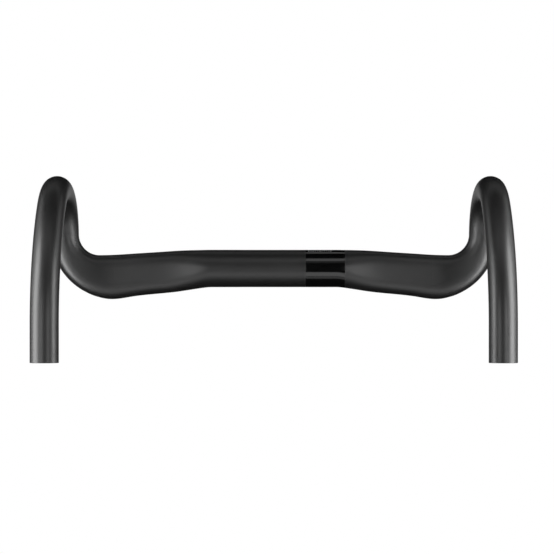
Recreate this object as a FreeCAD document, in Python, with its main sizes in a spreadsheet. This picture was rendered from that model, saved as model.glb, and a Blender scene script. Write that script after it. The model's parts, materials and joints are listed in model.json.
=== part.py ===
"""Road drop handlebar in moulded carbon fibre, made in three bonded pieces.

Frame, as fitted to a bicycle: +X to the rider's right, +Y forward, +Z up. The origin is the centre
of the stem clamp seat. Millimetres.

The tops are one hollow moulding that is round at the stem clamp and flattens into wide wings. At a
square seam each wing meets a hook moulding, which turns forward through a bend that grows round
again, then drops and turns back in a plane leaned out by the flare. An inner sleeve and a film of
adhesive join the pieces. The left hook, sleeve and film mirror the right ones.
"""

import FreeCAD
import Part
import Sketcher

import math
import os

from FreeCAD import Placement, Rotation, Vector

# ---------------------------------------------------------------- driving dimensions

SEAM_X = 135.5

DIMENSIONS = {
    # stem clamp seat and the tube beside it
    "clamp_diameter": 31.8,
    "seat_length": 54.2,
    "top_wall": 2.4,
    # wing, bonding seam and socket for the sleeve
    "seam_x": SEAM_X,
    "wing_thickness": 22.0,
    "wing_flat_under": 3.8,  # exponent of the section's underside, 2 being an ellipse
    "wing_flat_over": 2.6,
    "socket_chord": 31.2,
    "socket_depth": 17.2,
    "socket_centre_y": -6.7,
    "socket_start_x": 118.0,
    "socket_end_x": 148.0,
    "shoulder": 0.5,  # step between the socket and the cavity beyond it
    "film": 0.2,
    "sleeve_wall": 1.5,
    "sleeve_clearance": 0.3,  # at each end of the socket
    # bend, turning forward about a vertical axis
    "bend_centre_x": 149.0,
    "bend_centre_y": 29.0,
    "bend_inner_radius": 17.6,
    "bend_chord": 36.0,
    "bend_taper": 1.8,  # exponent that narrows the chord quickly at first
    "bend_end_slope": 6.0,
    "bend_drop": 2.0,
    # hook and drop
    "grip_diameter": 23.8,
    "grip_wall": 1.9,
    "flare": 3.96,
    "hook_upper_radius": 37.8,
    "hook_upper_turn": 48.0,
    "hook_middle_radius": 52.0,
    "hook_middle_turn": 80.4,
    "hook_lower_radius": 136.6,
    "grip_straight": 30.4,
    "plug_bore_diameter": 20.1,
    "plug_bore_length": 28.0,
    # gloss lacquer band and the marks printed on it
    "band_near_x": 27.1,
    "band_far_x": 60.4,
    "band_thickness": 0.15,
    "mark_count": 11,
    "mark_first_x": 30.0,
    "mark_pitch": 1.9,
    "mark_width": 0.5,
    "mark_short_span": 5.0,
    "mark_long_span": 9.0,
    "mark_angle": 20.0,  # below the level of the tube's front edge
    "mark_thickness": 0.04,
    # how far cuts reach past a face or back into one another
    "overcut": 1.0,
    "cavity_overlap": 2.0,
}

# distance from the middle, front edge, rear edge and thickness; the first is still round
WING_STATIONS = (
    (53.0, 15.95, -15.95, 31.9),
    (60.0, 15.85, -16.50, 31.2),
    (67.0, 15.72, -17.50, 29.2),
    (74.0, 15.55, -18.60, 26.8),
    (82.0, 15.20, -19.80, 24.6),
    (94.0, 14.40, -21.10, 22.7),
    (108.0, 13.50, -22.40, 22.0),
    (122.0, 12.60, -24.15, 22.0),
    (SEAM_X, 11.75, -26.10, 22.0),
)
WING_FIELDS = ("x", "front", "rear", "thickness")
ROUND_PLACES = (0.0, 20.0, 38.0, 47.0)
CAVITY_ROUND_PLACES = (0.0, 30.0, 47.0)
CAVITY_STATIONS = (1, 3, 5, 7)  # the hidden cavity needs only every second wing station
FLAT_FROM, FLAT_BY = 53.0, 94.0  # stretch of the wing over which its flatness grows
ROUNDING_FROM, ROUNDING_BY = 0.05, 0.95  # and shares of the bend over which it fades
BEND_STEPS = 7
OUTLINE_POINTS = 16

RIGHT = Vector(1, 0, 0)
FORWARD = Vector(0, 1, 0)
UP = Vector(0, 0, 1)


def make_sheet(doc):
    """The spreadsheet of driving dimensions, the wing stations included."""
    values = dict(DIMENSIONS)
    for number, station in enumerate(WING_STATIONS, start=1):
        for field, value in zip(WING_FIELDS, station):
            values[f"wing_{field}_{number}"] = value
    sheet = doc.addObject("Spreadsheet::Sheet", "Dimensions")
    for row, (alias, value) in enumerate(values.items(), start=1):
        sheet.set(f"A{row}", alias)
        sheet.set(f"B{row}", str(value))
        sheet.setAlias(f"B{row}", alias)
    doc.recompute()
    return sheet


# ---------------------------------------------------------------- sections


def smooth(value, low, high):
    """0 below low, 1 above high, and an even S-curve between them."""
    t = min(max((value - low) / (high - low), 0.0), 1.0)
    return t * t * (3.0 - 2.0 * t)


class Section:
    """An outline with rounded edges and a flattened underside, in its own plane.

    Its own X runs towards the inner (front) edge and its own Y upwards.
    """

    def __init__(self, chord, thickness, centre=0.0, under=2.0, over=2.0):
        self.chord = chord
        self.thickness = thickness
        self.centre = centre
        self.under = under
        self.over = over

    def inset(self, wall):
        chord, thickness = self.chord - 2 * wall, self.thickness - 2 * wall
        return Section(chord, thickness, self.centre, self.under, self.over)

    def curve(self):
        """The closed spline through points spaced evenly by angle, with even knots."""
        points = []
        for i in range(OUTLINE_POINTS):
            angle = 2 * math.pi * i / OUTLINE_POINTS
            across, upward = math.cos(angle), math.sin(angle)
            flatness = self.over if upward > 0 else self.under
            height = math.sqrt(max(1.0 - abs(across) ** flatness, 0.0))
            points.append(
                Vector(
                    self.centre + self.chord / 2 * across,
                    math.copysign(self.thickness / 2 * height, upward),
                    0,
                )
            )
        even_knots = [i / OUTLINE_POINTS for i in range(OUTLINE_POINTS + 1)]
        spline = Part.BSplineCurve()
        spline.interpolate(Points=points, PeriodicFlag=True, Parameters=even_knots)
        return spline


def round_section(diameter):
    return Section(diameter, diameter)


def flatness_at(sheet, share):
    """Exponents of the underside and the top, share going from 0 (round) to 1 (wing)."""
    return {
        "under": 2.0 + (sheet.wing_flat_under - 2.0) * share,
        "over": 2.0 + (sheet.wing_flat_over - 2.0) * share,
    }


def wing_section(sheet, number):
    x = sheet.get(f"wing_x_{number}")
    front = sheet.get(f"wing_front_{number}")
    rear = sheet.get(f"wing_rear_{number}")
    thickness = sheet.get(f"wing_thickness_{number}")
    flat = flatness_at(sheet, smooth(x, FLAT_FROM, FLAT_BY))
    return Section(front - rear, thickness, (front + rear) / 2, **flat)


def socket_section(sheet):
    flat = flatness_at(sheet, 1.0)
    return Section(sheet.socket_chord, sheet.socket_depth, sheet.socket_centre_y, **flat)


# ---------------------------------------------------------------- path of the hook moulding


def plane_at(origin, normal, upward):
    """Placement whose own Z is the path's direction and whose own Y points up, square to it."""
    normal = Vector(normal).normalize()
    inward = upward.cross(normal).normalize()
    return Placement(origin, Rotation(inward, normal.cross(inward), normal, "ZXY"))


def hook_axes(sheet):
    """Directions forward and down in the leaned plane of the hook."""
    flare = math.radians(sheet.flare)
    return FORWARD, Vector(math.sin(flare), 0, -math.cos(flare))


def bend_stations(sheet):
    """Sections from the end of the wing round the bend to the round grip."""
    centre = Vector(sheet.bend_centre_x, sheet.bend_centre_y, 0)
    flare = math.radians(sheet.flare)
    narrowing = sheet.bend_chord - sheet.grip_diameter
    thickening = sheet.grip_diameter - sheet.wing_thickness
    stations = []
    for i in range(BEND_STEPS + 1):
        share = i / BEND_STEPS
        turn = math.radians(90.0 * share)
        chord = sheet.grip_diameter + narrowing * (1 - share) ** sheet.bend_taper
        thickness = sheet.wing_thickness + thickening * smooth(share, 0, 1)
        outward = Vector(math.sin(turn), -math.cos(turn), 0)
        origin = centre + outward * (sheet.bend_inner_radius + chord / 2)
        origin.z = -sheet.bend_drop * share**2
        slope = math.radians(sheet.bend_end_slope) * share
        down = Vector(math.sin(flare * share), 0, -math.cos(flare * share))
        level = Vector(math.cos(turn), math.sin(turn), 0)
        direction = level * math.cos(slope) + down * math.sin(slope)
        flat = flatness_at(sheet, 1.0 - smooth(share, ROUNDING_FROM, ROUNDING_BY))
        stations.append((plane_at(origin, direction, down * -1), Section(chord, thickness, **flat)))
    return stations


def hook_start(sheet):
    grip_centre_x = sheet.bend_centre_x + sheet.bend_inner_radius + sheet.grip_diameter / 2
    return Vector(grip_centre_x, sheet.bend_centre_y, -sheet.bend_drop)


def hook_path(body, name, sheet):
    """Spine of the hook in its leaned plane: three tangent arcs, each wider than the last, and the grip."""
    forward, down = hook_axes(sheet)
    plane = Placement(hook_start(sheet), Rotation(forward, down, forward.cross(down), "XYZ"))
    sketch = placed_sketch(body, name, "XY_Plane", plane)
    arcs = (
        ("upper", sheet.hook_upper_radius, sheet.hook_upper_turn),
        ("middle", sheet.hook_middle_radius, sheet.hook_middle_turn),
        ("lower", sheet.hook_lower_radius, lower_turn(sheet)),
    )
    heading = math.radians(sheet.bend_end_slope)
    here = Vector(0, 0, 0)
    for _, radius, turn in arcs:
        centre = here + Vector(-math.sin(heading), math.cos(heading), 0) * radius
        start = heading - math.pi / 2
        heading += math.radians(turn)
        end = heading - math.pi / 2
        sketch.addGeometry(Part.ArcOfCircle(Part.Circle(centre, UP, radius), start, end), False)
        here = centre + Vector(math.sin(heading), -math.cos(heading), 0) * radius
    sketch.addGeometry(Part.LineSegment(here, here - Vector(sheet.grip_straight, 0, 0)), False)

    first, second, origin = 1, 2, -1
    sketch.addConstraint(Sketcher.Constraint("Coincident", 0, first, origin, 1))
    for index in range(len(arcs)):
        sketch.addConstraint(Sketcher.Constraint("Tangent", index, second, index + 1, first))
    sketch.addConstraint(Sketcher.Constraint("Horizontal", len(arcs)))
    for index, (arc, radius, turn) in enumerate(arcs):
        bind(sketch, Sketcher.Constraint("Radius", index, radius), f"Dimensions.hook_{arc}_radius")
        if arc != "lower":
            angle = Sketcher.Constraint("Angle", index, math.radians(turn))
            bind(sketch, angle, f"Dimensions.hook_{arc}_turn")
    straight = Sketcher.Constraint("Distance", len(arcs), sheet.grip_straight)
    bind(sketch, straight, "Dimensions.grip_straight")
    return sketch


def lower_turn(sheet):
    """What the last arc turns, so that the grip ends level."""
    return 180.0 - sheet.bend_end_slope - sheet.hook_upper_turn - sheet.hook_middle_turn


def grip_end(path):
    """Centre of the bar's end face."""
    return path.Placement.multVec(path.Geometry[-1].EndPoint)


# ---------------------------------------------------------------- FreeCAD helpers


def new_body(doc, name):
    return doc.addObject("PartDesign::Body", name)


def origin_plane(body, role):
    return next(plane for plane in body.Origin.OriginFeatures if plane.Role == role)


def placed_sketch(body, name, role, placement=None):
    """An empty sketch on one of the body's own planes, moved to a placement."""
    sketch = body.newObject("Sketcher::SketchObject", name)
    sketch.AttachmentSupport = [(origin_plane(body, role), "")]
    sketch.MapMode = "FlatFace"
    sketch.Visibility = False
    if placement is not None:
        sketch.AttachmentOffset = placement
    return sketch


def bind(sketch, constraint, expression):
    index = sketch.addConstraint(constraint)
    sketch.setExpression(f"Constraints[{index}]", expression)


def section_sketch(body, name, section, placement=None, offset=None):
    """One closed outline, at a placement or at an offset along X that the sheet gives."""
    sketch = placed_sketch(body, name, "XY_Plane" if placement else "YZ_Plane", placement)
    if offset is not None:
        sketch.setExpression("AttachmentOffset.Base.z", offset)
    sketch.addGeometry(section.curve(), False)
    return sketch


def loft(body, kind, name, sketches):
    """Additive or subtractive loft through a row of section sketches."""
    feature = body.newObject(f"PartDesign::{kind}Loft", name)
    feature.Profile = sketches[0]
    feature.Sections = sketches[1:]
    return feature


def pipe(body, kind, name, profile, spine):
    """Additive or subtractive sweep of a closed outline along every edge of a spine."""
    feature = body.newObject(f"PartDesign::{kind}Pipe", name)
    feature.Profile = profile
    feature.Spine = (spine, [f"Edge{i + 1}" for i in range(len(spine.Geometry))])
    return feature


def pad(body, name, sketch, length):
    feature = body.newObject("PartDesign::Pad", name)
    feature.Profile = sketch
    feature.setExpression("Length", length)
    return feature


def pocket(body, name, sketch, length, towards_normal=True):
    """A pocket along its sketch's normal, or against it."""
    feature = body.newObject("PartDesign::Pocket", name)
    feature.Profile = sketch
    feature.setExpression("Length", length)
    feature.Reversed = towards_normal
    return feature


def boolean(doc, kind, name, base, tool):
    result = doc.addObject(f"Part::{kind}", name)
    result.Base = base
    result.Tool = tool
    return result


def mirrored(doc, name, source):
    result = doc.addObject("Part::Mirroring", name)
    result.Source = source
    result.Normal = RIGHT
    return result


def label(obj, name):
    obj.Label = name
    return obj


# ---------------------------------------------------------------- centre section


def half_row(sheet, inset, round_places, wing_numbers):
    """Places and sections of the tops from the middle towards the right seam."""
    middle = round_section(sheet.wing_thickness_1).inset(inset)
    row = [(f"{x}", middle) for x in round_places]
    for number in wing_numbers:
        row.append((f"Dimensions.wing_x_{number}", wing_section(sheet, number).inset(inset)))
    return row


def tops_loft(body, kind, name, half):
    """Loft through a half row, its mirror image first."""
    sketches = []
    for sign, sections in (("-", reversed(half[1:])), ("", half)):
        for place, section in sections:
            offset = f"{sign}({place})"
            sketches.append(section_sketch(body, f"{name}_{len(sketches)}", section, offset=offset))
    return loft(body, kind, f"{name}_loft", sketches)


def tops_skin(doc, sheet, name, inset):
    body = new_body(doc, name)
    every_station = range(1, len(WING_STATIONS) + 1)
    tops_loft(body, "Additive", name, half_row(sheet, inset, ROUND_PLACES, every_station))
    return body


def ring_sketch(body, name, inner, outer):
    sketch = placed_sketch(body, name, "YZ_Plane")
    for radius, expression in (inner, outer):
        index = sketch.addGeometry(Part.Circle(Vector(0, 0, 0), UP, radius), False)
        sketch.addConstraint(Sketcher.Constraint("Coincident", index, 3, -1, 1))
        bind(sketch, Sketcher.Constraint("Radius", index, radius), expression)
    return sketch


def centre_body(doc, sheet):
    """Hollow tops: the moulded skin, the ground clamp seat, the cavity and a socket at each end."""
    body = tops_skin(doc, sheet, "Tops", 0.0)
    seat_radius = sheet.clamp_diameter / 2
    ring = ring_sketch(
        body,
        "seat_ring",
        (seat_radius, "Dimensions.clamp_diameter / 2"),
        (2 * seat_radius, "Dimensions.clamp_diameter"),
    )
    seat = pocket(body, "clamp_seat", ring, "Dimensions.seat_length")
    seat.Midplane = True
    cavity = half_row(sheet, sheet.top_wall, CAVITY_ROUND_PLACES, CAVITY_STATIONS)
    mouth = socket_section(sheet).inset(sheet.shoulder)
    cavity.append(("Dimensions.socket_start_x + Dimensions.overcut", mouth))
    tops_loft(body, "Subtractive", "cavity", cavity)
    depth = "Dimensions.seam_x - Dimensions.socket_start_x + Dimensions.overcut"
    for side, sign in (("right", ""), ("left", "-")):
        start = f"{sign}Dimensions.socket_start_x"
        sketch = section_sketch(body, f"{side}_socket_outline", socket_section(sheet), offset=start)
        pocket(body, f"{side}_socket", sketch, depth, towards_normal=side == "right")
    return body


# ---------------------------------------------------------------- hooks, sleeves and films


def hook_body(doc, sheet):
    """Right hook moulding, hollow, with the sleeve's socket at the seam."""
    body = new_body(doc, "Hook")
    path = hook_path(body, "hook_path", sheet)
    doc.recompute()

    seam = wing_section(sheet, len(WING_STATIONS))
    outer = [section_sketch(body, "seam_outline", seam, offset="Dimensions.seam_x")]
    for number, (place, section) in enumerate(bend_stations(sheet)):
        outer.append(section_sketch(body, f"skin_{number}", section, placement=place))
    loft(body, "Additive", "bend_skin", outer)
    pipe(body, "Additive", "hook_skin", outer[-1], path)

    socket = section_sketch(body, "socket_outline", socket_section(sheet), offset="Dimensions.seam_x")
    pocket(body, "hook_socket", socket, "Dimensions.socket_end_x - Dimensions.seam_x")

    mouth = socket_section(sheet).inset(sheet.shoulder)
    mouth_place = "Dimensions.socket_end_x - Dimensions.cavity_overlap"
    inner = [section_sketch(body, "cavity_mouth", mouth, offset=mouth_place)]
    for number, (place, section) in enumerate(bend_stations(sheet)):
        wall = thinning_wall(sheet, number / BEND_STEPS)
        inner.append(section_sketch(body, f"cavity_{number}", section.inset(wall), placement=place))
    loft(body, "Subtractive", "bend_cavity", inner)
    pipe(body, "Subtractive", "hook_cavity", inner[-1], path)
    return body, path


def thinning_wall(sheet, share):
    """The wall thins evenly from the start of the bend to the grip."""
    start = sheet.top_wall + sheet.shoulder
    return start + (sheet.grip_wall - start) * share


def plug_bore(doc, sheet, end):
    """The round bore that takes a bar end plug, cut a little wider than the moulded cavity."""
    bore = doc.addObject("Part::Cylinder", "PlugBore")
    bore.setExpression("Radius", "Dimensions.plug_bore_diameter / 2")
    bore.setExpression("Height", "Dimensions.plug_bore_length + Dimensions.overcut")
    bore.Placement = Placement(end - FORWARD * sheet.overcut, Rotation(UP, FORWARD))
    return bore


def prism_body(doc, name, outer, inner, start, length):
    """Hollow straight piece with the socket's outline."""
    body = new_body(doc, name)
    outer_sketch = section_sketch(body, f"{name}_outer", outer, offset=start)
    pad(body, f"{name}_pad", outer_sketch, length)
    inner_sketch = section_sketch(body, f"{name}_inner", inner, offset=start)
    pocket(body, f"{name}_hollow", inner_sketch, length)
    return body


# ---------------------------------------------------------------- band and marks


def band_object(doc, sheet, tops_outer):
    """Film of gloss lacquer that fills its recess flush, from the seat outwards on the left."""
    slab = doc.addObject("Part::Box", "BandSlab")
    slab.setExpression("Length", "Dimensions.band_far_x - Dimensions.band_near_x")
    slab.setExpression("Width", "Dimensions.clamp_diameter * 2")
    slab.setExpression("Height", "Dimensions.clamp_diameter * 2")
    slab.setExpression("Placement.Base.x", "-Dimensions.band_far_x")
    slab.setExpression("Placement.Base.y", "-Dimensions.clamp_diameter")
    slab.setExpression("Placement.Base.z", "-Dimensions.clamp_diameter")
    under = tops_skin(doc, sheet, "UnderBand", sheet.band_thickness)
    sleeve = boolean(doc, "Common", "BandStretch", tops_outer, slab)
    return boolean(doc, "Cut", "Band", sleeve, under)


def marks_object(doc, sheet):
    """Row of plain tick marks, every fifth one longer, printed on the band's front underside."""
    radius = sheet.wing_thickness_1 / 2
    ticks = []
    for number in range(int(sheet.mark_count)):
        alias = "mark_long_span" if number % 5 == 0 else "mark_short_span"
        tick = doc.addObject("Part::Cylinder", f"Tick_{number}")
        tick.Radius = radius + sheet.mark_thickness
        tick.setExpression("Height", "Dimensions.mark_width")
        tick.setExpression("Angle", f"Dimensions.{alias}")
        x = -(sheet.mark_first_x + sheet.mark_pitch * number)
        start_angle = 90.0 - sheet.mark_angle - sheet.get(alias) / 2
        towards_front = Rotation(RIGHT, start_angle) * (UP * -1)
        square_to_it = RIGHT.cross(towards_front)
        tick.Placement = Placement(Vector(x, 0, 0), Rotation(towards_front, square_to_it, RIGHT, "ZXY"))
        ticks.append(tick)
    row = doc.addObject("Part::MultiFuse", "TickRow")
    row.Shapes = ticks
    core = doc.addObject("Part::Cylinder", "TickCore")
    core.Radius = radius
    core.Height = sheet.band_far_x
    core.Placement = Placement(Vector(-sheet.band_far_x, 0, 0), Rotation(UP, RIGHT))
    return boolean(doc, "Cut", "Marks", row, core)


# ---------------------------------------------------------------- assembly


def build(doc):
    sheet = make_sheet(doc)
    skin = tops_skin(doc, sheet, "TopsOutline", 0.0)
    band = label(band_object(doc, sheet, skin), "gloss_band")
    centre = boolean(doc, "Cut", "CentreSection", centre_body(doc, sheet), band)
    hook, path = hook_body(doc, sheet)
    right_hook = boolean(doc, "Cut", "RightHook", hook, plug_bore(doc, sheet, grip_end(path)))

    film_start = "Dimensions.socket_start_x + Dimensions.sleeve_clearance"
    socket_length = "Dimensions.socket_end_x - Dimensions.socket_start_x"
    film_length = f"{socket_length} - 2 * Dimensions.sleeve_clearance"
    socket = socket_section(sheet)
    sleeve_outline = socket.inset(sheet.film)
    hollow = sleeve_outline.inset(sheet.sleeve_wall)
    sleeve = prism_body(doc, "Sleeve", sleeve_outline, hollow, film_start, film_length)
    film = prism_body(doc, "Film", socket, sleeve_outline, film_start, film_length)

    return [
        label(centre, "centre_section"),
        label(right_hook, "right_hook"),
        label(mirrored(doc, "LeftHook", right_hook), "left_hook"),
        label(sleeve, "right_joint_sleeve"),
        label(mirrored(doc, "LeftSleeve", sleeve), "left_joint_sleeve"),
        label(film, "right_joint_adhesive"),
        label(mirrored(doc, "LeftFilm", film), "left_joint_adhesive"),
        band,
        label(marks_object(doc, sheet), "clamp_marks"),
    ]


def check(doc, nodes):
    failed = [obj.Name for obj in doc.Objects if {"Invalid", "Error"} & set(obj.State)]
    if failed:
        raise RuntimeError(f"not computed: {failed}")
    for node in nodes:
        if node.Shape.isNull() or not node.Shape.isValid() or not node.Shape.Solids:
            raise RuntimeError(f"bad shape: {node.Label}")


def main():
    doc = FreeCAD.newDocument("DropHandlebar")
    nodes = build(doc)
    doc.recompute()
    check(doc, nodes)
    os.makedirs("parts", exist_ok=True)
    for node in nodes:
        node.Shape.exportStep(os.path.join("parts", f"{node.Label}.step"))
        print(f"{node.Label}: {len(node.Shape.Solids)} solid(s), {node.Shape.Volume / 1000:.2f} cm3")


main()
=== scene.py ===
"""Studio scene of a moulded carbon drop handlebar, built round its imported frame. Metres."""

import json
import math

import bpy
import numpy as np
from mathutils import Matrix, Vector

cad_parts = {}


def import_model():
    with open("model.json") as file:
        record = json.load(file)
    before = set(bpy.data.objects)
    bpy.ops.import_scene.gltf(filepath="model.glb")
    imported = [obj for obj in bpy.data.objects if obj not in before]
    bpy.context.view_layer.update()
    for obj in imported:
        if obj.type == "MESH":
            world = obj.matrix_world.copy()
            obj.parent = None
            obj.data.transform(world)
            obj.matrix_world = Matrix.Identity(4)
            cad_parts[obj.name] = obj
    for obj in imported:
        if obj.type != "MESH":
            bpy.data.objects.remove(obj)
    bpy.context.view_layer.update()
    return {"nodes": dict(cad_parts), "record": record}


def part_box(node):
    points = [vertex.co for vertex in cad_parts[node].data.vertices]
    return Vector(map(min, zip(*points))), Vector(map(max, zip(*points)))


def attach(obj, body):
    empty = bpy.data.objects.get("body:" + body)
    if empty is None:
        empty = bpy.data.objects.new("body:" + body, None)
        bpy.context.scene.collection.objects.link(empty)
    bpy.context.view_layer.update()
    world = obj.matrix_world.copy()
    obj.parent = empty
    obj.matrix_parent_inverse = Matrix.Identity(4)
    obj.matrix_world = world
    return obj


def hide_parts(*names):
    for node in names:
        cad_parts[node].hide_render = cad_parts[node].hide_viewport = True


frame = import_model()

MM = 0.001
RIGHT, FORWARD, UP = Vector((1, 0, 0)), Vector((0, 1, 0)), Vector((0, 0, 1))

# ---------------------------------------------------------------- sizes, in millimetres

MOUNTS = {mount["name"]: mount for mount in frame["record"]["mounts"]}
SEAT_RADIUS = MOUNTS["stem_clamp"]["dims"]["r_mm"]
SEAT_HALF = MOUNTS["stem_clamp"]["dims"]["length_mm"] / 2
PLUG_BORE_RADIUS = MOUNTS["right_plug_bore"]["dims"]["r_mm"]
PLUG_BORE_LENGTH = MOUNTS["right_plug_bore"]["dims"]["length_mm"]
SEAM_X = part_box("right_hook")[0].x / MM
BAND_FAR_X = -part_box("gloss_band")[0].x / MM
BAND_NEAR_X = -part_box("gloss_band")[1].x / MM

TUBE_RADIUS = 15.95  # of the round middle, outside the clamp seat
SEAT_FADE = 5.0  # length over which the seat runs out into the tube
TOP_WALL = 2.4
GRIP_DIAMETER, GRIP_WALL = 23.8, 1.9
LIP_ROUND, SEAM_ROUND = 0.3, 0.04  # radius of the edges at the drop ends and at the seams

# gloss band: its recess, the steps at the recess's ends and the film of lacquer in it
BAND_DEPTH = 0.15
STEP_HALF, STEP_RING_GAP = 0.02, 0.15
FILM_THICKNESS = 0.135
FILM_ROUND = 0.03
FILM_ROW_STEP = 1.0

# ticks printed on the band
TICK_COUNT = 11
TICK_PITCH, TICK_WIDTH, TICK_THICKNESS = 1.9, 0.5, 0.04
TICK_SHORT, TICK_LONG, TICK_LONG_EVERY = 1.4, 2.5, 5
TICK_CUTS = 5  # points along a tick's length
TICK_LIFT = 0.01
TICKS_BELOW_FRONT = math.radians(20.0)

# distance from the middle, front edge, rear edge and thickness of the wing; the first is round
WING_STATIONS = (
    (53.0, 15.95, -15.95, 31.9),
    (60.0, 15.85, -16.50, 31.2),
    (67.0, 15.72, -17.50, 29.2),
    (74.0, 15.55, -18.60, 26.8),
    (82.0, 15.20, -19.80, 24.6),
    (94.0, 14.40, -21.10, 22.7),
    (108.0, 13.50, -22.40, 22.0),
    (122.0, 12.60, -24.15, 22.0),
    (135.5, 11.75, -26.10, 22.0),
)
WING_THICKNESS = 22.0
WING_UNDER, WING_OVER = 3.8, 2.6  # exponents of the section's two halves, 2 being an ellipse
FLAT_FROM, FLAT_BY = 53.0, 94.0  # stretch of the wing over which its flatness grows

BEND_CENTRE = Vector((149.0, 29.0, 0.0))
BEND_INNER_RADIUS = 17.6
BEND_CHORD = 36.0
BEND_TAPER = 1.8  # exponent that narrows the chord quickly at first
BEND_END_SLOPE = math.radians(6.0)
BEND_DROP = 2.0
BEND_CONTROL = (0.0, 0.15, 0.3)  # shares of the bend that lead the tops' edges into it
ROUNDING_FROM, ROUNDING_BY = 0.05, 0.95  # shares of the bend over which its flatness fades

FLARE = math.radians(3.96)
HOOK_DOWN = Vector((math.sin(FLARE), 0, -math.cos(FLARE)))
HOOK_ARCS = ((37.8, 48.0), (52.0, 80.4), (136.6, 45.6))  # radius and degrees of turn
GRIP_STRAIGHT = 30.4

ROW_STEP = 2.0  # between rings along a moulding
AROUND = 96  # points in a ring
RIM_STEPS = 4  # rings in each rounded edge
WELD = 1e-6  # metres


# ---------------------------------------------------------------- node trees


class Socket:
    """An output socket that takes part in arithmetic; each expression adds its own Math node."""

    def __init__(self, tree, link):
        self.tree = tree
        self.link = link

    def maths(self, operation, *values):
        return self.tree.node("ShaderNodeMath", {"operation": operation}, dict(enumerate(values)))

    def __add__(self, other):
        return self.maths("ADD", self, other)

    def __radd__(self, other):
        return self.maths("ADD", other, self)

    def __sub__(self, other):
        return self.maths("SUBTRACT", self, other)

    def __rsub__(self, other):
        return self.maths("SUBTRACT", other, self)

    def __mul__(self, other):
        return self.maths("MULTIPLY", self, other)

    def __rmul__(self, other):
        return self.maths("MULTIPLY", other, self)

    def __truediv__(self, other):
        return self.maths("DIVIDE", self, other)

    def __rtruediv__(self, other):
        return self.maths("DIVIDE", other, self)

    def __pow__(self, other):
        return self.maths("POWER", self, other)

    def __rpow__(self, other):
        return self.maths("POWER", other, self)

    def __mod__(self, other):
        return self.maths("FLOORED_MODULO", self, other)

    def __rmod__(self, other):
        return self.maths("FLOORED_MODULO", other, self)

    def __neg__(self):
        return self.maths("MULTIPLY", self, -1.0)

    def floor(self):
        return self.maths("FLOOR", self)

    def absolute(self):
        return self.maths("ABSOLUTE", self)

    def cosine(self):
        return self.maths("COSINE", self)

    def sine(self):
        return self.maths("SINE", self)

    def root(self):
        return self.maths("SQRT", self)

    def sign(self):
        return self.maths("SIGN", self)

    def at_least(self, low):
        return self.maths("MAXIMUM", self, low)

    def at_most(self, high):
        return self.maths("MINIMUM", self, high)

    def above(self, limit):
        return self.maths("GREATER_THAN", self, limit)


class Tree:
    """A node tree with one method that adds any node: its type, its settings, then its sockets."""

    def __init__(self, group):
        self.group = group

    def node(self, kind, settings=None, sockets=None, output=0):
        node = self.group.nodes.new(kind)
        for name, value in (settings or {}).items():
            setattr(node, name, value)
        for name, value in (sockets or {}).items():
            socket = node.inputs[name]
            if isinstance(value, Socket):
                self.group.links.new(value.link, socket)
            else:
                socket.default_value = value
        return Socket(self, node.outputs[output]) if len(node.outputs) else node


def grey(value):
    """An opaque colour."""
    return (value, value, value, 1.0)


# ---------------------------------------------------------------- geometry trees


def geometry_tree(name, inputs):
    """An empty geometry tree with named inputs. Returns the tree and its inputs' sockets."""
    group = bpy.data.node_groups.new(name, "GeometryNodeTree")
    group.interface.new_socket("Geometry", in_out="INPUT", socket_type="NodeSocketGeometry")
    for label, kind in inputs.items():
        group.interface.new_socket(label, in_out="INPUT", socket_type=kind)
    group.interface.new_socket("Geometry", in_out="OUTPUT", socket_type="NodeSocketGeometry")
    tree = Tree(group)
    entry = tree.node("NodeGroupInput").link.node
    return tree, {socket.name: Socket(tree, socket) for socket in entry.outputs if socket.name}


def finish_tree(tree, geometry, material):
    """Every tree ends in Realize Instances and Set Material."""
    whole = tree.node("GeometryNodeRealizeInstances", None, {"Geometry": geometry})
    painted = tree.node("GeometryNodeSetMaterial", None, {"Geometry": whole, "Material": material})
    tree.node("NodeGroupOutput", None, {"Geometry": painted})


def sampled(tree, spine, name, kind, row):
    """A spine attribute's value at a row."""
    field = tree.node("GeometryNodeInputNamedAttribute", {"data_type": kind}, {"Name": name})
    return tree.node(
        "GeometryNodeSampleIndex",
        {"data_type": kind, "domain": "POINT"},
        {"Geometry": spine, "Value": field, "Index": row},
    )


def scaled(tree, vector, factor):
    """A vector times a number."""
    operation = {"operation": "SCALE"}
    return tree.node("ShaderNodeVectorMath", operation, {0: vector, "Scale": factor})


def added(tree, one, two):
    """The sum of two vectors."""
    return tree.node("ShaderNodeVectorMath", {"operation": "ADD"}, {0: one, 1: two})


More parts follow.
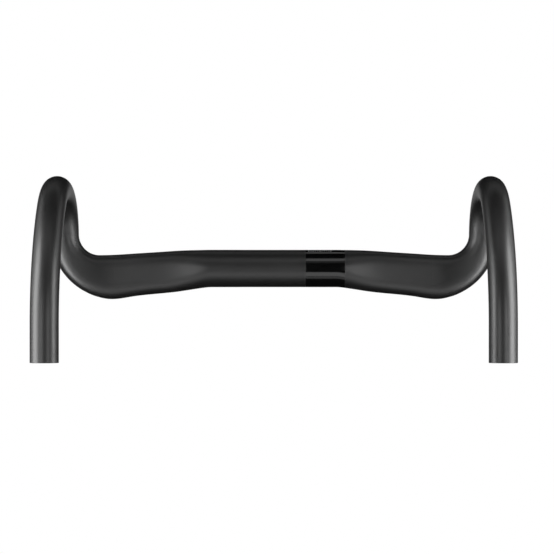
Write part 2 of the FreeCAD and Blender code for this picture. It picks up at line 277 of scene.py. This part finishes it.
def shell_tree():
    """Skins a closed row of stations: each becomes a ring, round or flattened above and below."""
    inputs = {"Around": "NodeSocketInt", "Material": "NodeSocketMaterial"}
    tree, given = geometry_tree("moulded_shell", inputs)
    spine, around = given["Geometry"], given["Around"]
    rows = tree.node("GeometryNodeAttributeDomainSize", {"component": "MESH"}, {"Geometry": spine})
    counts = {"Vertices X": rows + 1, "Vertices Y": around + 1}
    grid = tree.node("GeometryNodeMeshGrid", None, counts)
    index = tree.node("GeometryNodeInputIndex")
    line = (index / (around + 1)).floor()
    step = index % (around + 1)
    row = line % rows
    turn = step * math.tau / around
    across, upward = turn.cosine(), turn.sine()

    def value(name):
        return sampled(tree, spine, name, "FLOAT", row)

    def vector(name):
        return sampled(tree, spine, name, "FLOAT_VECTOR", row)

    under, over = value("under"), value("over")
    flatness = under + (over - under) * upward.above(0.0)
    height = (1.0 - across.absolute() ** flatness).at_least(0.0).root() * upward.sign()
    sideways = scaled(tree, vector("inward"), value("centre") + value("chord") * 0.5 * across)
    rise = scaled(tree, vector("upward"), value("thickness") * 0.5 * height)
    place = added(tree, vector("place"), added(tree, sideways, rise))
    shaped = tree.node("GeometryNodeSetPosition", None, {"Geometry": grid, "Position": place})
    spread = {"X": value("along"), "Y": value("girth") * step / around}
    layout = tree.node("ShaderNodeCombineXYZ", None, spread)
    laid_out = tree.node(
        "GeometryNodeStoreNamedAttribute",
        {"data_type": "FLOAT2", "domain": "CORNER"},
        {"Geometry": shaped, "Name": "UVMap", "Value": layout},
    )
    welding = {"Geometry": laid_out, "Distance": WELD}
    closed = tree.node("GeometryNodeMergeByDistance", None, welding)
    shading = {"Geometry": closed, "Shade Smooth": True}
    finish_tree(tree, tree.node("GeometryNodeSetShadeSmooth", None, shading), given["Material"])
    return tree.group


def ticks_tree():
    """A row of thin printed ticks along X, every fifth one longer."""
    inputs = {"Count": "NodeSocketInt"}
    for length in ("Pitch", "Width", "Short Length", "Long Length", "Thickness"):
        inputs[length] = "NodeSocketFloat"
    tree, given = geometry_tree("tick_row", inputs | {"Material": "NodeSocketMaterial"})
    short, long = given["Short Length"], given["Long Length"]
    sides = {"X": given["Width"], "Y": short, "Z": given["Thickness"]}
    size = tree.node("ShaderNodeCombineXYZ", None, sides)
    tick = tree.node("GeometryNodeMeshCube", None, {"Size": size, "Vertices Y": TICK_CUTS})
    offset = tree.node("ShaderNodeCombineXYZ", None, {"X": -given["Pitch"]})
    line = tree.node("GeometryNodeMeshLine", None, {"Count": given["Count"], "Offset": offset})
    index = tree.node("GeometryNodeInputIndex")
    is_long = 1.0 - (index % TICK_LONG_EVERY).at_most(1.0)
    lengthened = {"X": 1.0, "Y": 1.0 + is_long * (long / short - 1.0), "Z": 1.0}
    stretch = tree.node("ShaderNodeCombineXYZ", None, lengthened)
    placing = {"Points": line, "Instance": tick, "Scale": stretch}
    row = tree.node("GeometryNodeInstanceOnPoints", None, placing)
    finish_tree(tree, row, given["Material"])
    return tree.group


def grown(name, source, group, values):
    """The plain mesh object that a geometry tree makes from a source mesh."""
    seed = bpy.data.objects.new(name + "_seed", source)
    bpy.context.scene.collection.objects.link(seed)
    modifier = seed.modifiers.new("grow", "NODES")
    modifier.node_group = group
    for item in group.interface.items_tree:
        if item.in_out == "INPUT" and item.name in values:
            modifier[item.identifier] = values[item.name]
    bpy.context.view_layer.update()
    result = seed.evaluated_get(bpy.context.evaluated_depsgraph_get())
    mesh = bpy.data.meshes.new_from_object(result)
    mesh.name = name
    seed.modifiers.remove(modifier)
    bpy.data.objects.remove(seed)
    piece = bpy.data.objects.new(name, mesh)
    bpy.context.scene.collection.objects.link(piece)
    return piece


def turn_outwards(mesh):
    """Flips every face if the closed mesh encloses a negative volume."""
    mesh.calc_loop_triangles()
    corners = np.zeros(len(mesh.vertices) * 3)
    mesh.vertices.foreach_get("co", corners)
    index = np.zeros(len(mesh.loop_triangles) * 3, dtype=np.int32)
    mesh.loop_triangles.foreach_get("vertices", index)
    a, b, c = corners.reshape(-1, 3)[index.reshape(-1, 3)].transpose(1, 0, 2)
    if np.einsum("ij,ij->i", a, np.cross(b, c)).sum() < 0:
        mesh.flip_normals()


# ---------------------------------------------------------------- stations


def eased(value, low, high):
    """0 at the low value and before, 1 at the high one and beyond, level at both."""
    t = min(max((value - low) / (high - low), 0.0), 1.0)
    return t * t * (3.0 - 2.0 * t)


class Spline:
    """Natural cubic spline through points, level at its first one."""

    def __init__(self, xs, ys):
        self.xs, self.ys = np.array(xs, float), np.array(ys, float)
        gaps, slopes = np.diff(self.xs), np.diff(self.ys) / np.diff(self.xs)
        count = len(self.xs)
        system, sides = np.eye(count), np.zeros(count)
        system[0, :2] = 2 * gaps[0], gaps[0]
        sides[0] = 6 * slopes[0]
        for i in range(1, count - 1):
            system[i, i - 1 : i + 2] = gaps[i - 1], 2 * (gaps[i - 1] + gaps[i]), gaps[i]
            sides[i] = 6 * (slopes[i] - slopes[i - 1])
        self.bends = np.linalg.solve(system, sides)

    def __call__(self, x):
        if x <= self.xs[0]:
            return float(self.ys[0])
        i = min(int(np.searchsorted(self.xs, x)) - 1, len(self.xs) - 2)
        gap = self.xs[i + 1] - self.xs[i]
        left, right = self.xs[i + 1] - x, x - self.xs[i]
        cubic = (self.bends[i] * left**3 + self.bends[i + 1] * right**3) / (6 * gap)
        linear_left = (self.ys[i] / gap - self.bends[i] * gap / 6) * left
        linear_right = (self.ys[i + 1] / gap - self.bends[i + 1] * gap / 6) * right
        return float(cubic + linear_left + linear_right)


class Station:
    """One section of a moulding: its plane, its size and how flat it is."""

    def __init__(self, place, direction, upward, chord, thickness, share, along, centre=0.0):
        self.place = Vector(place)
        self.direction = Vector(direction).normalized()
        self.inward = Vector(upward).cross(self.direction).normalized()
        self.upward = self.direction.cross(self.inward)
        self.chord, self.thickness, self.centre = chord, thickness, centre
        self.share = share
        self.along = along

    def moved(self, forward=0.0, inset=0.0):
        """The same section further on along the moulding and smaller all round."""
        place = self.place + self.direction * forward
        size = self.chord - 2 * inset, self.thickness - 2 * inset
        along = self.along + forward
        return Station(place, self.direction, self.upward, *size, self.share, along, self.centre)


def bend_chord(share):
    """Width of the section at a share of the bend."""
    return GRIP_DIAMETER + (BEND_CHORD - GRIP_DIAMETER) * (1 - share) ** BEND_TAPER


def bend_length(share):
    """Length of the centreline from the start of the bend, taking its mean radius."""
    mean = BEND_INNER_RADIUS + (bend_chord(0) + bend_chord(share)) / 4
    return math.pi / 2 * share * mean


def edge_splines():
    """Front edge, rear edge and thickness of the tops against distance from the middle."""
    inner = BEND_CENTRE.y - BEND_INNER_RADIUS
    rows = list(WING_STATIONS)
    for share in BEND_CONTROL:
        x = BEND_CENTRE.x + bend_length(share)
        rows.append((x, inner, inner - bend_chord(share), WING_THICKNESS))
    xs, fronts, rears, depths = zip(*rows)
    return Spline(xs, fronts), Spline(xs, rears), Spline(xs, depths)


FRONT, REAR, DEPTH = edge_splines()


def tops_station(x):
    """Section of the tops at a signed distance from the middle, always facing +X."""
    away = abs(x)
    front, rear, depth = FRONT(away), REAR(away), DEPTH(away)
    share = eased(away, FLAT_FROM, FLAT_BY)
    return Station((x, 0, 0), RIGHT, UP, front - rear, depth, share, x, (front + rear) / 2)


def bend_station(share):
    """Section at a share of the bend, which turns forward, slopes down and leans out."""
    turn, slope, lean = math.pi / 2 * share, BEND_END_SLOPE * share, FLARE * share
    down = Vector((math.sin(lean), 0, -math.cos(lean)))
    outward = Vector((math.sin(turn), -math.cos(turn), 0))
    level = Vector((math.cos(turn), math.sin(turn), 0))
    direction = level * math.cos(slope) + down * math.sin(slope)
    along = BEND_CENTRE.x + bend_length(share)
    chord = FRONT(along) - REAR(along) if share < BEND_CONTROL[1] else bend_chord(share)
    radius = BEND_INNER_RADIUS + chord / 2
    place = BEND_CENTRE + outward * radius + UP * (-BEND_DROP * share**2)
    thickness = WING_THICKNESS + (GRIP_DIAMETER - WING_THICKNESS) * eased(share, 0, 1)
    flat = 1.0 - eased(share, ROUNDING_FROM, ROUNDING_BY)
    return Station(place, direction, -down, chord, thickness, flat, along)


def hook_stations():
    """Round sections from the end of the bend to the cut end of the grip."""
    sideways = FORWARD.cross(HOOK_DOWN)
    heading = BEND_END_SLOPE
    here = bend_station(1.0).place
    along = BEND_CENTRE.x + bend_length(1.0)
    stations = []

    def add():
        direction = FORWARD * math.cos(heading) + HOOK_DOWN * math.sin(heading)
        upward = direction.cross(sideways)
        stations.append(Station(here, direction, upward, GRIP_DIAMETER, GRIP_DIAMETER, 0.0, along))

    for radius, degrees in HOOK_ARCS:
        steps = math.ceil(radius * math.radians(degrees) / ROW_STEP)
        step = math.radians(degrees) / steps
        for _ in range(steps):
            middle = heading + step / 2
            chord = 2 * radius * math.sin(step / 2)
            here = here + (FORWARD * math.cos(middle) + HOOK_DOWN * math.sin(middle)) * chord
            heading += step
            along += radius * step
            add()
    steps = math.ceil(GRIP_STRAIGHT / ROW_STEP)
    for _ in range(steps):
        here = here - FORWARD * (GRIP_STRAIGHT / steps)
        along += GRIP_STRAIGHT / steps
        add()
    return stations


def spaced(start, end, step=ROW_STEP):
    """Even places from start to end, no more than a step apart."""
    return np.linspace(start, end, math.ceil(abs(end - start) / step) + 1)


def hook_row():
    """The hook's stations from its seam, through the bend, to the cut end of the grip."""
    straight = [tops_station(x) for x in spaced(SEAM_X, BEND_CENTRE.x)]
    bend = [bend_station(share) for share in spaced(0, 1, ROW_STEP / bend_length(1.0))[1:]]
    return straight + bend + hook_stations()


# ---------------------------------------------------------------- shells


def rim(station, outwards, inset, wall, radius):
    """The rounded edges and flat rim at one end of a shell, from its outside to its inside."""
    rows = []
    for corner, start, towards in ((inset, 0.0, 1), (inset + wall, math.pi / 2, -1)):
        for i in range(RIM_STEPS + 1):
            angle = start + math.pi / 2 * i / RIM_STEPS
            side = radius * (towards - math.cos(angle))
            back = radius * (1 - math.sin(angle))
            rows.append(station.moved(-outwards * back, corner + side))
    return rows


def closed_shell(row, walls, insets, rounds):
    """Outside of a moulding from end to end, then its inside back again, with a rim at each end.

    Beside each rim an extra ring keeps its rounding from shading the surface further in.
    """
    start, end = 2 * rounds[0], -2 * rounds[1]
    outside = [station.moved(0, inset) for station, inset in zip(row, insets)][1:-1]
    outside = [row[0].moved(start, insets[0])] + outside + [row[-1].moved(end, insets[-1])]
    depths = [inset + wall for inset, wall in zip(insets, walls)]
    inside = [station.moved(0, depth) for station, depth in zip(row, depths)][-2:0:-1]
    inside = [row[-1].moved(end, depths[-1])] + inside + [row[0].moved(start, depths[0])]
    far = rim(row[-1], 1, insets[-1], walls[-1], rounds[1])
    near = rim(row[0], -1, insets[0], walls[0], rounds[0])[::-1]
    return outside + far + inside + near


def spine_mesh(name, row):
    """Stations as a loose row of points that carry their sections as attributes, in metres."""
    mesh = bpy.data.meshes.new(name)
    mesh.from_pydata([station.place * MM for station in row], [], [])
    vectors = {
        "place": [station.place * MM for station in row],
        "inward": [station.inward for station in row],
        "upward": [station.upward for station in row],
    }
    numbers = {
        "chord": [station.chord * MM for station in row],
        "thickness": [station.thickness * MM for station in row],
        "centre": [station.centre * MM for station in row],
        "under": [2.0 + (WING_UNDER - 2.0) * station.share for station in row],
        "over": [2.0 + (WING_OVER - 2.0) * station.share for station in row],
        "along": [station.along * MM for station in row],
        "girth": [math.pi * (station.chord + station.thickness) / 2 * MM for station in row],
    }
    for label, values in vectors.items():
        data = mesh.attributes.new(label, "FLOAT_VECTOR", "POINT")
        data.data.foreach_set("vector", np.array(values, float).ravel())
    for label, values in numbers.items():
        data = mesh.attributes.new(label, "FLOAT", "POINT")
        data.data.foreach_set("value", np.array(values, float))
    return mesh


SHELL = shell_tree()


def shell_piece(name, row, material):
    """The closed shell that a row of stations makes, as a plain mesh."""
    values = {"Around": AROUND, "Material": material}
    piece = grown(name, spine_mesh(name + "_row", row), SHELL, values)
    turn_outwards(piece.data)
    return piece


def mirrored(piece, name, material):
    """A copy on the other side of the middle."""
    mesh = piece.data.copy()
    mesh.name = name
    mesh.transform(Matrix.Scale(-1, 4, RIGHT))
    mesh.flip_normals()
    mesh.materials.clear()
    mesh.materials.append(material)
    other = bpy.data.objects.new(name, mesh)
    bpy.context.scene.collection.objects.link(other)
    return other


# ---------------------------------------------------------------- materials


def new_material(name):
    """An empty material and its node tree."""
    material = bpy.data.materials.new(name)
    material.use_nodes = True
    material.node_tree.nodes.clear()
    return material, Tree(material.node_tree)


def surface(tree, sockets):
    """Ends a material in one Principled shader."""
    shader = tree.node("ShaderNodeBsdfPrincipled", None, sockets)
    tree.node("ShaderNodeOutputMaterial", None, {"Surface": shader})


def noise(tree, place, repeats, detail, roughness):
    """Noise from 0 to 1 with so many lumps to the metre."""
    settings = {"Vector": place, "Scale": repeats, "Detail": detail, "Roughness": roughness}
    return tree.node("ShaderNodeTexNoise", None, settings)


def bump(tree, height, strength, depth):
    """A normal for relief of a depth in millimetres."""
    sockets = {"Height": height, "Strength": strength, "Distance": depth * MM}
    return tree.node("ShaderNodeBump", None, sockets)


def tone(tree, shade, blueness=1.0):
    """A grey from one value, a little bluer if asked."""
    channels = {"Red": shade, "Green": shade, "Blue": shade * blueness}
    return tree.node("ShaderNodeCombineColor", None, channels)


def object_place(tree):
    """Where a point lies on the object, in metres."""
    return tree.node("ShaderNodeTexCoord", output="Object")


def matte_carbon(name):
    """Satin clear coat over unidirectional fibre: faint tows along the tube and a fine grain."""
    material, tree = new_material(name)
    layout = tree.node("ShaderNodeUVMap", {"uv_map": "UVMap"})
    along_the_tube = {"Vector": layout, "Scale": (60.0, 1400.0, 1.0)}
    stretched = tree.node("ShaderNodeMapping", None, along_the_tube)
    tows = noise(tree, stretched, 1.0, detail=3.0, roughness=0.6)
    place = object_place(tree)
    grain = noise(tree, place, 2200.0, detail=2.0, roughness=0.6)
    cloud = noise(tree, place, 45.0, detail=2.0, roughness=0.5)
    colour = tone(tree, 0.0015 + tows * 0.002 + cloud * 0.002, blueness=1.01)
    satin = 0.40 + (cloud - 0.5) * 0.08 + (grain - 0.5) * 0.05
    relief = bump(tree, tows * 0.3 + grain * 0.7, strength=0.25, depth=0.02)
    surface(tree, {"Base Color": colour, "Roughness": satin, "Normal": relief, "IOR": 1.5})
    return material


def inner_carbon(name):
    """The rough inside of a bladder moulding."""
    material, tree = new_material(name)
    lumps = noise(tree, object_place(tree), 260.0, detail=3.0, roughness=0.6)
    colour = tone(tree, 0.02 + lumps * 0.02)
    relief = bump(tree, lumps, strength=0.6, depth=0.2)
    surface(tree, {"Base Color": colour, "Roughness": 0.5 + lumps * 0.2, "Normal": relief})
    return material


def adhesive(name):
    """Dark grey bonding paste, unevenly mixed."""
    material, tree = new_material(name)
    mix = noise(tree, object_place(tree), 400.0, detail=2.0, roughness=0.5)
    colour = tone(tree, 0.09 + mix * 0.05, blueness=1.05)
    surface(tree, {"Base Color": colour, "Roughness": 0.45 + mix * 0.15})
    return material


def gloss_lacquer(name):
    """Deep black lacquer, almost a mirror, with the slightest orange peel."""
    material, tree = new_material(name)
    place = object_place(tree)
    peel = noise(tree, place, 350.0, detail=1.0, roughness=0.4)
    cloud = noise(tree, place, 90.0, detail=2.0, roughness=0.5)
    colour = tone(tree, 0.0012 + cloud * 0.0008)
    relief = bump(tree, peel, strength=0.06, depth=0.03)
    polish = 0.10 + cloud * 0.05
    surface(tree, {"Base Color": colour, "Roughness": polish, "Normal": relief, "IOR": 1.5})
    return material


def print_ink(name):
    """Light grey ink with a speckle."""
    material, tree = new_material(name)
    speckle = noise(tree, object_place(tree), 3000.0, detail=2.0, roughness=0.6)
    colour = tone(tree, 0.32 + speckle * 0.12)
    surface(tree, {"Base Color": colour, "Roughness": 0.5 + speckle * 0.1})
    return material


CARBON = matte_carbon("matte_carbon")
INNER = inner_carbon("inner_carbon")
GLUE = adhesive("bond_adhesive")
LACQUER = gloss_lacquer("gloss_lacquer")
INK = print_ink("print_ink")


# ---------------------------------------------------------------- the handlebar's pieces


def seat_and_band_inset(x):
    """How far the tops' outside lies under the moulded surface: ground seat and band recess."""
    if -BAND_FAR_X < x < -BAND_NEAR_X:
        return BAND_DEPTH
    return (TUBE_RADIUS - SEAT_RADIUS) * (1.0 - eased(abs(x), SEAT_HALF, SEAT_HALF + SEAT_FADE))


def tops_places():
    """Rows along the tops, doubled at both ends of the band recess."""
    breaks = [-SEAM_X, -BAND_FAR_X, -BAND_NEAR_X, SEAM_X]
    places = []
    for low, high in zip(breaks, breaks[1:]):
        inner = spaced(low + STEP_RING_GAP, high - STEP_RING_GAP)
        places.extend([low + STEP_HALF, *inner, high - STEP_HALF])
    places[0], places[-1] = -SEAM_X, SEAM_X
    return places


def centre_section():
    """The tops, from seam to seam."""
    places = tops_places()
    row = [tops_station(x) for x in places]
    insets = [seat_and_band_inset(x) for x in places]
    shell = closed_shell(row, [TOP_WALL] * len(row), insets, (SEAM_ROUND, SEAM_ROUND))
    return shell_piece("centre_moulding", shell, CARBON)


def right_hook():
    """The hook, whose wall thins through the bend and again round the bore for the end plug."""
    row = hook_row()
    last = row[-1].along
    walls = []
    for station in row:
        if last - station.along < PLUG_BORE_LENGTH:
            walls.append(GRIP_DIAMETER / 2 - PLUG_BORE_RADIUS)
        else:
            share = eased(station.along, BEND_CENTRE.x, BEND_CENTRE.x + bend_length(1.0))
            walls.append(TOP_WALL + (GRIP_WALL - TOP_WALL) * share)
    shell = closed_shell(row, walls, [0.0] * len(row), (SEAM_ROUND, LIP_ROUND))
    return shell_piece("right_hook_moulding", shell, CARBON)


def gloss_band():
    """A film of lacquer, flush with the moulded surface."""
    row = [tops_station(x) for x in spaced(-BAND_FAR_X, -BAND_NEAR_X, FILM_ROW_STEP)]
    walls, insets = [FILM_THICKNESS] * len(row), [0.0] * len(row)
    shell = closed_shell(row, walls, insets, (FILM_ROUND, FILM_ROUND))
    return shell_piece("gloss_band_film", shell, LACQUER)


def clamp_marks():
    """Ticks laid on the front underside of the band, starting at its end by the clamp."""
    sizes = {
        "Pitch": TICK_PITCH,
        "Width": TICK_WIDTH,
        "Short Length": TICK_SHORT,
        "Long Length": TICK_LONG,
        "Thickness": TICK_THICKNESS,
    }
    values = {label: size * MM for label, size in sizes.items()}
    values |= {"Count": TICK_COUNT, "Material": INK}
    row = grown("clamp_marks_print", bpy.data.meshes.new("marks_seed"), ticks_tree(), values)
    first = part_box("clamp_marks")[1].x - TICK_WIDTH / 2 * MM
    turned = Matrix.Rotation(-math.pi / 2 - TICKS_BELOW_FRONT, 4, "X")
    lifted = Matrix.Translation((0, 0, (TUBE_RADIUS + TICK_LIFT) * MM))
    row.data.transform(Matrix.Translation((first, 0, 0)) @ turned @ lifted)
    return row


def dress(piece, node):
    """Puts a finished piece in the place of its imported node."""
    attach(piece, "root")
    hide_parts(node)


def repaint(node, material):
    """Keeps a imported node's own mesh, in another material."""
    mesh = frame["nodes"][node].data
    mesh.materials.clear()
    mesh.materials.append(material)


hook = right_hook()
dress(centre_section(), "centre_section")
dress(mirrored(hook, "left_hook_moulding", CARBON), "left_hook")
dress(hook, "right_hook")
dress(gloss_band(), "gloss_band")
dress(clamp_marks(), "clamp_marks")
for side in ("left", "right"):
    repaint(f"{side}_joint_sleeve", INNER)
    repaint(f"{side}_joint_adhesive", GLUE)


# ---------------------------------------------------------------- studio

# metres, the lens and its sensor in millimetres
CAMERA_DISTANCE = 2.654
CAMERA_ASIDE, CAMERA_BACK = -0.00263, -0.00727
CAMERA_LENS, CAMERA_SENSOR = 201.7, 36.0
CAMERA_REACH = 20.0
FLOOR_HALF, FLOOR_DROP = 9.0, 0.3
FLOOR_CORNERS = ((-1, -1), (1, -1), (1, 1), (-1, 1))
SURROUND = 0.001  # brightness of the room behind the panels


def camera():
    """Straight below the bar, looking up, with the front of the bar at the top of the view."""
    data = bpy.data.cameras.new("camera")
    data.lens = CAMERA_LENS
    data.sensor_width = CAMERA_SENSOR
    data.clip_end = CAMERA_REACH
    cam = bpy.data.objects.new("camera", data)
    cam.location = (CAMERA_ASIDE, CAMERA_BACK, -CAMERA_DISTANCE)
    cam.rotation_euler = (0, math.pi, 0)
    bpy.context.scene.collection.objects.link(cam)
    bpy.context.scene.camera = cam


# Soft panels round the bar: degrees from straight down, compass degrees from the front towards
# the right, distance, level width, height and brightness. Panels off to one side come in pairs.
PANELS = {
    "front_low": (38, 0, 1.6, 2.4, 0.25, 0.25),
    "front_strip": (54.5, 0, 1.6, 2.4, 0.50, 1.25),
    "front_rim": (113, 0, 1.6, 2.4, 0.30, 0.9),
    "rear_strip": (36, 180, 1.6, 2.4, 0.72, 1.6),
    "rear_high": (58, 180, 1.6, 2.4, 0.40, 0.8),
    "side_near": (65, 90, 0.52, 0.60, 0.22, 10.5),
    "side_rear": (72, 130, 1.6, 0.90, 0.80, 2.4),
    "side_low": (25, 90, 1.6, 0.70, 0.30, 7.5),
    "side_rim": (105, 75, 1.6, 1.60, 0.60, 1.6),
    "overhead": (180, 0, 1.6, 1.60, 0.70, 0.6),
}


def softbox(name, polar, compass, distance, width, height, brightness):
    """A panel of even brightness that faces the bar, upright in its own direction."""
    data = bpy.data.lights.new(name, "AREA")
    data.shape = "RECTANGLE"
    data.size, data.size_y = width, height
    data.energy = brightness * math.pi * width * height
    light = bpy.data.objects.new(name, data)
    towards = Matrix.Rotation(math.radians(-compass), 4, "Z")
    raised = Matrix.Rotation(math.radians(polar), 4, "X")
    away = Matrix.Translation(UP * -distance)
    light.matrix_world = towards @ raised @ away @ Matrix.Rotation(math.pi, 4, "X")
    light.visible_camera = False
    bpy.context.scene.collection.objects.link(light)


def studio_lights():
    """Every panel, with the mirror image of those at the sides."""
    for name, (polar, compass, *panel) in PANELS.items():
        softbox(name, polar, compass, *panel)
        if 0 < compass < 180:
            softbox(f"{name}_left", polar, -compass, *panel)


def world():
    """White seen directly, and a dim surround for the light on the bar."""
    scene_world = bpy.data.worlds.new("studio")
    scene_world.use_nodes = True
    scene_world.node_tree.nodes.clear()
    tree = Tree(scene_world.node_tree)
    seen = tree.node("ShaderNodeLightPath", output="Is Camera Ray")
    white = tree.node("ShaderNodeBackground", None, {"Color": grey(1.0), "Strength": 1.0})
    dim = tree.node("ShaderNodeBackground", None, {"Color": grey(1.0), "Strength": SURROUND})
    mixed = tree.node("ShaderNodeMixShader", None, {0: seen, 1: dim, 2: white})
    tree.node("ShaderNodeOutputWorld", None, {"Surface": mixed})
    bpy.context.scene.world = scene_world


def floor():
    """A plain pale floor well below the camera, as bright as the backdrop."""
    mesh = bpy.data.meshes.new("floor")
    height = -CAMERA_DISTANCE - FLOOR_DROP
    corners = [(x * FLOOR_HALF, y * FLOOR_HALF, height) for x, y in FLOOR_CORNERS]
    mesh.from_pydata(corners, [], [(0, 1, 2, 3)])
    material, tree = new_material("floor")
    colours = {"Base Color": grey(0.0), "Roughness": 1.0, "Specular IOR Level": 0.0}
    surface(tree, colours | {"Emission Color": grey(1.0), "Emission Strength": 1.0})
    mesh.materials.append(material)
    plane = bpy.data.objects.new("floor", mesh)
    plane.visible_glossy = False
    plane.visible_diffuse = False
    bpy.context.scene.collection.objects.link(plane)


camera()
world()
floor()
studio_lights()
bpy.context.scene.view_settings.view_transform = "Standard"
